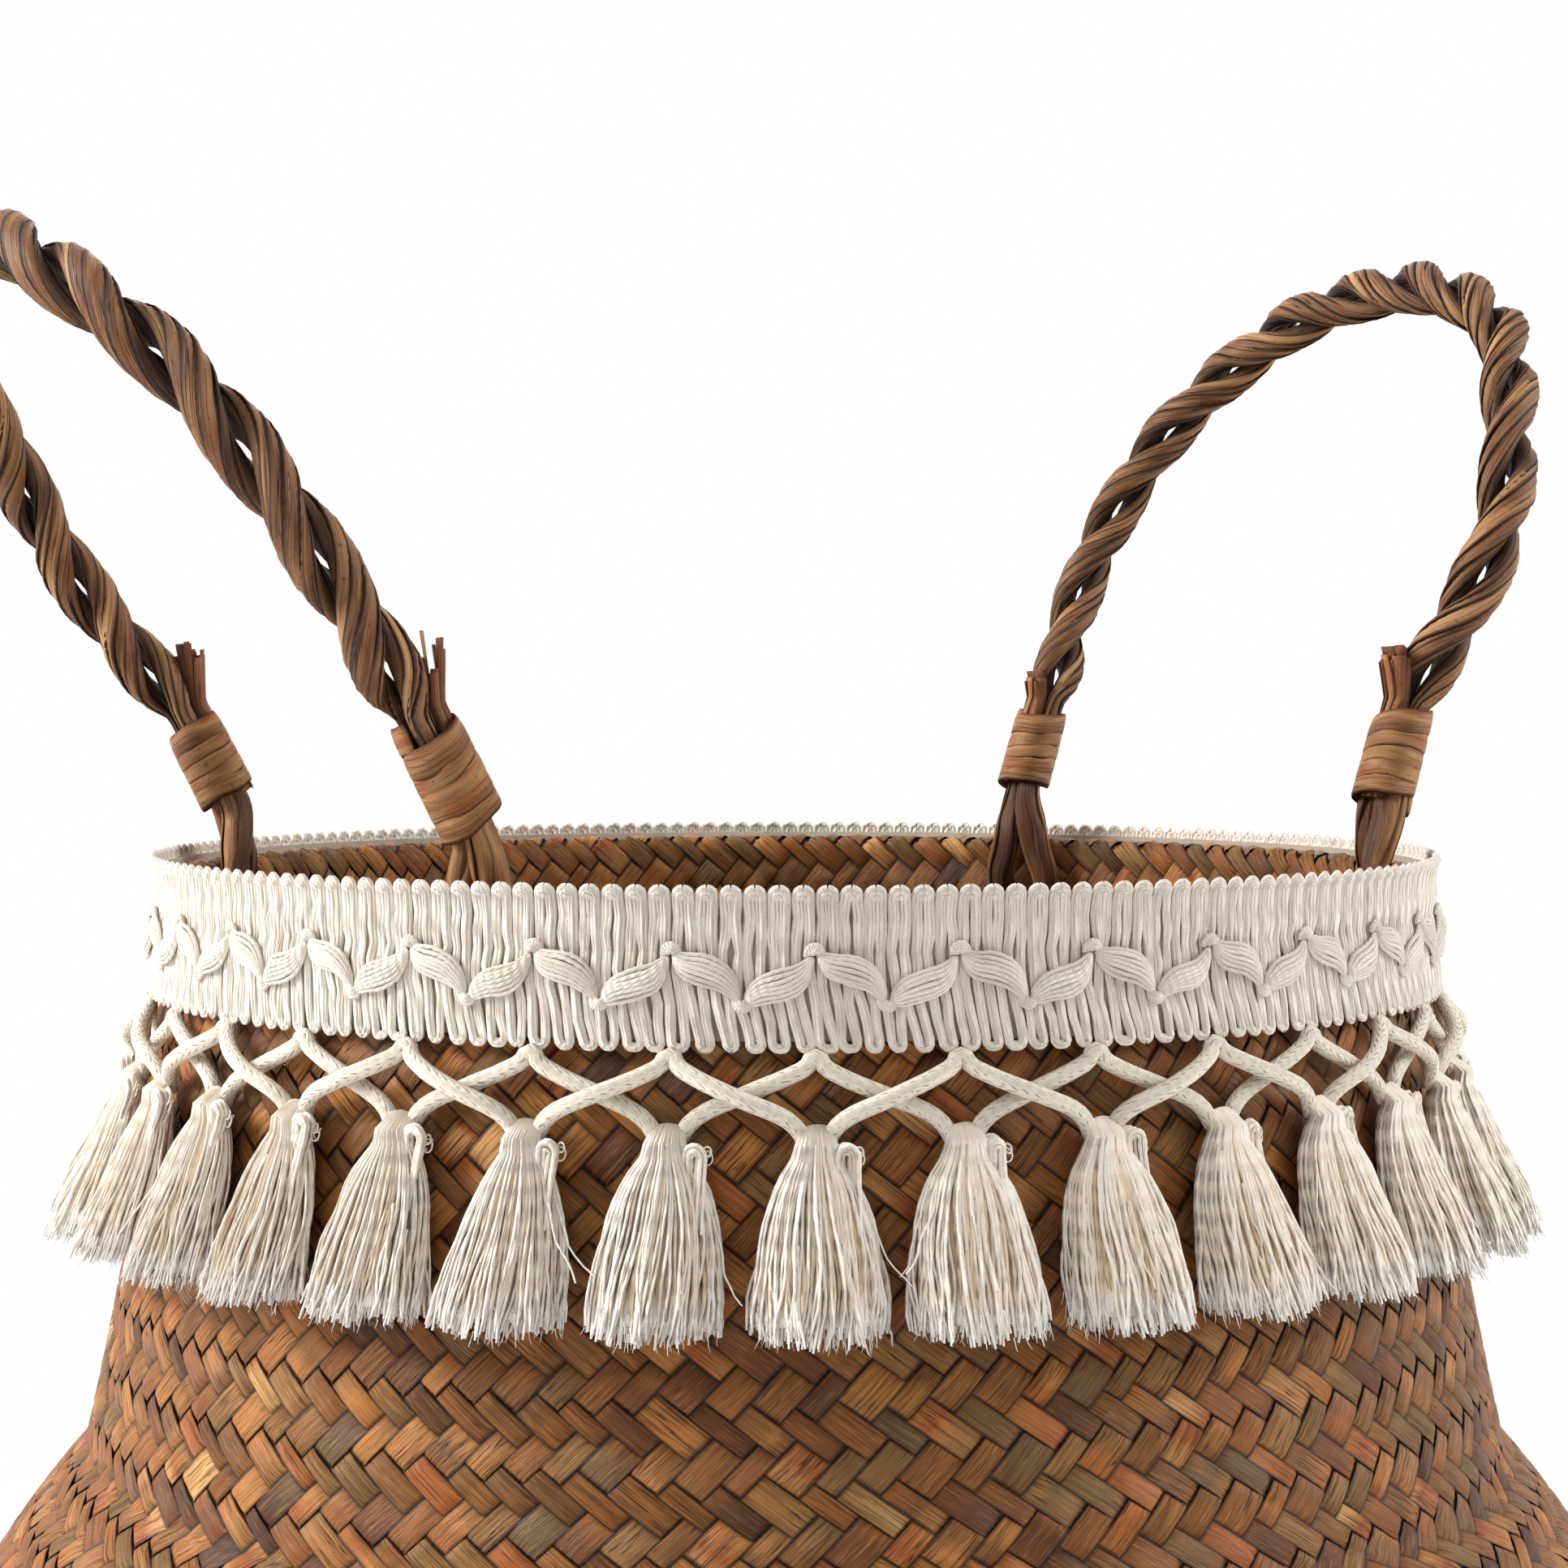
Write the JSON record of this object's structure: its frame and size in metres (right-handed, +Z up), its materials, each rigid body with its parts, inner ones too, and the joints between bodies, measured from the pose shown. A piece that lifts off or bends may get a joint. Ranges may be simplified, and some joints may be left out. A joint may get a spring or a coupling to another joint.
{
  "type": "belly basket",
  "caption": "Plaited seagrass basket with a round belly and folding neck, a cotton braid and tassel fringe at the rim and two swinging rope handles.",
  "frame": {"origin": "centre of the base underside, on the surface that the basket stands on", "axes": "+Z up through the mouth, +X and -X towards the two handles, +Y between them"},
  "size_m": [0.3712, 0.3732, 0.493],
  "materials": {
    "plaited_seagrass": "satin",
    "cotton_braid": "matt",
    "knitted_cord": "matt",
    "tassel_yarn": "matt",
    "seagrass_rope": "satin",
    "binding_strip": "satin"
  },
  "bodies": {
    "basket": {"woven_body": "plaited_seagrass", "trim_band": "cotton_braid", "trim_zigzag_yarn": "cotton_braid", "lattice_cord_outer": "knitted_cord", "lattice_cord_inner": "knitted_cord", "handle_right_foot_loop_front": "seagrass_rope", "handle_right_foot_loop_back": "seagrass_rope", "handle_left_foot_loop_front": "seagrass_rope", "handle_left_foot_loop_back": "seagrass_rope"},
    "handle_right": {"handle_right_strand_1": "seagrass_rope", "handle_right_strand_2": "seagrass_rope", "handle_right_binding_front": "binding_strip", "handle_right_binding_back": "binding_strip", "handle_right_tail_front": "seagrass_rope", "handle_right_tail_back": "seagrass_rope"},
    "handle_left": {"handle_left_strand_1": "seagrass_rope", "handle_left_strand_2": "seagrass_rope", "handle_left_binding_front": "binding_strip", "handle_left_binding_back": "binding_strip", "handle_left_tail_front": "seagrass_rope", "handle_left_tail_back": "seagrass_rope"},
    "tassel_01": {"tassel_01": "tassel_yarn"},
    "tassel_02": {"tassel_02": "tassel_yarn"},
    "tassel_03": {"tassel_03": "tassel_yarn"},
    "tassel_04": {"tassel_04": "tassel_yarn"},
    "tassel_05": {"tassel_05": "tassel_yarn"},
    "tassel_06": {"tassel_06": "tassel_yarn"},
    "tassel_07": {"tassel_07": "tassel_yarn"},
    "tassel_08": {"tassel_08": "tassel_yarn"},
    "tassel_09": {"tassel_09": "tassel_yarn"},
    "tassel_10": {"tassel_10": "tassel_yarn"},
    "tassel_11": {"tassel_11": "tassel_yarn"},
    "tassel_12": {"tassel_12": "tassel_yarn"},
    "tassel_13": {"tassel_13": "tassel_yarn"},
    "tassel_14": {"tassel_14": "tassel_yarn"},
    "tassel_15": {"tassel_15": "tassel_yarn"},
    "tassel_16": {"tassel_16": "tassel_yarn"},
    "tassel_17": {"tassel_17": "tassel_yarn"},
    "tassel_18": {"tassel_18": "tassel_yarn"},
    "tassel_19": {"tassel_19": "tassel_yarn"},
    "tassel_20": {"tassel_20": "tassel_yarn"},
    "tassel_21": {"tassel_21": "tassel_yarn"},
    "tassel_22": {"tassel_22": "tassel_yarn"},
    "tassel_23": {"tassel_23": "tassel_yarn"},
    "tassel_24": {"tassel_24": "tassel_yarn"},
    "tassel_25": {"tassel_25": "tassel_yarn"},
    "tassel_26": {"tassel_26": "tassel_yarn"},
    "tassel_27": {"tassel_27": "tassel_yarn"},
    "tassel_28": {"tassel_28": "tassel_yarn"},
    "tassel_29": {"tassel_29": "tassel_yarn"},
    "tassel_30": {"tassel_30": "tassel_yarn"},
    "tassel_31": {"tassel_31": "tassel_yarn"},
    "tassel_32": {"tassel_32": "tassel_yarn"},
    "tassel_33": {"tassel_33": "tassel_yarn"},
    "tassel_34": {"tassel_34": "tassel_yarn"}
  },
  "joints": [
    {"name": "handle_right_swing", "type": "hinge", "parent": "basket", "child": "handle_right", "pos_m": [0.10061, 0, 0.368], "axis": [0, 1, 0], "range_deg": [-68, 60]},
    {"name": "handle_left_swing", "type": "hinge", "parent": "basket", "child": "handle_left", "pos_m": [-0.10061, 0, 0.368], "axis": [0, -1, 0], "range_deg": [-78, 50]},
    {"name": "tassel_01_swing", "type": "hinge", "parent": "basket", "child": "tassel_01", "pos_m": [0.135, 0, 0.31885], "axis": [0, -1, 0], "range_deg": [0, 60]},
    {"name": "tassel_02_swing", "type": "hinge", "parent": "basket", "child": "tassel_02", "pos_m": [0.1327, 0.02481, 0.31885], "axis": [0.1838, -0.983, 0], "range_deg": [0, 60]},
    {"name": "tassel_03_swing", "type": "hinge", "parent": "basket", "child": "tassel_03", "pos_m": [0.12588, 0.04877, 0.31885], "axis": [0.3612, -0.9325, 0], "range_deg": [0, 60]},
    {"name": "tassel_04_swing", "type": "hinge", "parent": "basket", "child": "tassel_04", "pos_m": [0.11478, 0.07107, 0.31885], "axis": [0.5264, -0.8502, 0], "range_deg": [0, 60]},
    {"name": "tassel_05_swing", "type": "hinge", "parent": "basket", "child": "tassel_05", "pos_m": [0.09977, 0.09095, 0.31885], "axis": [0.6737, -0.739, 0], "range_deg": [0, 60]},
    {"name": "tassel_06_swing", "type": "hinge", "parent": "basket", "child": "tassel_06", "pos_m": [0.08136, 0.10773, 0.31885], "axis": [0.798, -0.6026, 0], "range_deg": [0, 60]},
    {"name": "tassel_07_swing", "type": "hinge", "parent": "basket", "child": "tassel_07", "pos_m": [0.06017, 0.12085, 0.31885], "axis": [0.8952, -0.4457, 0], "range_deg": [0, 60]},
    {"name": "tassel_08_swing", "type": "hinge", "parent": "basket", "child": "tassel_08", "pos_m": [0.03694, 0.12985, 0.31885], "axis": [0.9618, -0.2737, 0], "range_deg": [0, 60]},
    {"name": "tassel_09_swing", "type": "hinge", "parent": "basket", "child": "tassel_09", "pos_m": [0.01246, 0.13442, 0.31885], "axis": [0.9957, -0.0923, 0], "range_deg": [0, 60]},
    {"name": "tassel_10_swing", "type": "hinge", "parent": "basket", "child": "tassel_10", "pos_m": [-0.01246, 0.13442, 0.31885], "axis": [0.9957, 0.0923, 0], "range_deg": [0, 60]},
    {"name": "tassel_11_swing", "type": "hinge", "parent": "basket", "child": "tassel_11", "pos_m": [-0.03694, 0.12985, 0.31885], "axis": [0.9618, 0.2737, 0], "range_deg": [0, 60]},
    {"name": "tassel_12_swing", "type": "hinge", "parent": "basket", "child": "tassel_12", "pos_m": [-0.06017, 0.12085, 0.31885], "axis": [0.8952, 0.4457, 0], "range_deg": [0, 60]},
    {"name": "tassel_13_swing", "type": "hinge", "parent": "basket", "child": "tassel_13", "pos_m": [-0.08136, 0.10773, 0.31885], "axis": [0.798, 0.6026, 0], "range_deg": [0, 60]},
    {"name": "tassel_14_swing", "type": "hinge", "parent": "basket", "child": "tassel_14", "pos_m": [-0.09977, 0.09095, 0.31885], "axis": [0.6737, 0.739, 0], "range_deg": [0, 60]},
    {"name": "tassel_15_swing", "type": "hinge", "parent": "basket", "child": "tassel_15", "pos_m": [-0.11478, 0.07107, 0.31885], "axis": [0.5264, 0.8502, 0], "range_deg": [0, 60]},
    {"name": "tassel_16_swing", "type": "hinge", "parent": "basket", "child": "tassel_16", "pos_m": [-0.12588, 0.04877, 0.31885], "axis": [0.3612, 0.9325, 0], "range_deg": [0, 60]},
    {"name": "tassel_17_swing", "type": "hinge", "parent": "basket", "child": "tassel_17", "pos_m": [-0.1327, 0.02481, 0.31885], "axis": [0.1838, 0.983, 0], "range_deg": [0, 60]},
    {"name": "tassel_18_swing", "type": "hinge", "parent": "basket", "child": "tassel_18", "pos_m": [-0.135, 0, 0.31885], "axis": [0, 1, 0], "range_deg": [0, 60]},
    {"name": "tassel_19_swing", "type": "hinge", "parent": "basket", "child": "tassel_19", "pos_m": [-0.1327, -0.02481, 0.31885], "axis": [-0.1838, 0.983, 0], "range_deg": [0, 60]},
    {"name": "tassel_20_swing", "type": "hinge", "parent": "basket", "child": "tassel_20", "pos_m": [-0.12588, -0.04877, 0.31885], "axis": [-0.3612, 0.9325, 0], "range_deg": [0, 60]},
    {"name": "tassel_21_swing", "type": "hinge", "parent": "basket", "child": "tassel_21", "pos_m": [-0.11478, -0.07107, 0.31885], "axis": [-0.5264, 0.8502, 0], "range_deg": [0, 60]},
    {"name": "tassel_22_swing", "type": "hinge", "parent": "basket", "child": "tassel_22", "pos_m": [-0.09977, -0.09095, 0.31885], "axis": [-0.6737, 0.739, 0], "range_deg": [0, 60]},
    {"name": "tassel_23_swing", "type": "hinge", "parent": "basket", "child": "tassel_23", "pos_m": [-0.08136, -0.10773, 0.31885], "axis": [-0.798, 0.6026, 0], "range_deg": [0, 60]},
    {"name": "tassel_24_swing", "type": "hinge", "parent": "basket", "child": "tassel_24", "pos_m": [-0.06017, -0.12085, 0.31885], "axis": [-0.8952, 0.4457, 0], "range_deg": [0, 60]},
    {"name": "tassel_25_swing", "type": "hinge", "parent": "basket", "child": "tassel_25", "pos_m": [-0.03694, -0.12985, 0.31885], "axis": [-0.9618, 0.2737, 0], "range_deg": [0, 60]},
    {"name": "tassel_26_swing", "type": "hinge", "parent": "basket", "child": "tassel_26", "pos_m": [-0.01246, -0.13442, 0.31885], "axis": [-0.9957, 0.0923, 0], "range_deg": [0, 60]},
    {"name": "tassel_27_swing", "type": "hinge", "parent": "basket", "child": "tassel_27", "pos_m": [0.01246, -0.13442, 0.31885], "axis": [-0.9957, -0.0923, 0], "range_deg": [0, 60]},
    {"name": "tassel_28_swing", "type": "hinge", "parent": "basket", "child": "tassel_28", "pos_m": [0.03694, -0.12985, 0.31885], "axis": [-0.9618, -0.2737, 0], "range_deg": [0, 60]},
    {"name": "tassel_29_swing", "type": "hinge", "parent": "basket", "child": "tassel_29", "pos_m": [0.06017, -0.12085, 0.31885], "axis": [-0.8952, -0.4457, 0], "range_deg": [0, 60]},
    {"name": "tassel_30_swing", "type": "hinge", "parent": "basket", "child": "tassel_30", "pos_m": [0.08136, -0.10773, 0.31885], "axis": [-0.798, -0.6026, 0], "range_deg": [0, 60]},
    {"name": "tassel_31_swing", "type": "hinge", "parent": "basket", "child": "tassel_31", "pos_m": [0.09977, -0.09095, 0.31885], "axis": [-0.6737, -0.739, 0], "range_deg": [0, 60]},
    {"name": "tassel_32_swing", "type": "hinge", "parent": "basket", "child": "tassel_32", "pos_m": [0.11478, -0.07107, 0.31885], "axis": [-0.5264, -0.8502, 0], "range_deg": [0, 60]},
    {"name": "tassel_33_swing", "type": "hinge", "parent": "basket", "child": "tassel_33", "pos_m": [0.12588, -0.04877, 0.31885], "axis": [-0.3612, -0.9325, 0], "range_deg": [0, 60]},
    {"name": "tassel_34_swing", "type": "hinge", "parent": "basket", "child": "tassel_34", "pos_m": [0.1327, -0.02481, 0.31885], "axis": [-0.1838, -0.983, 0], "range_deg": [0, 60]}
  ]
}
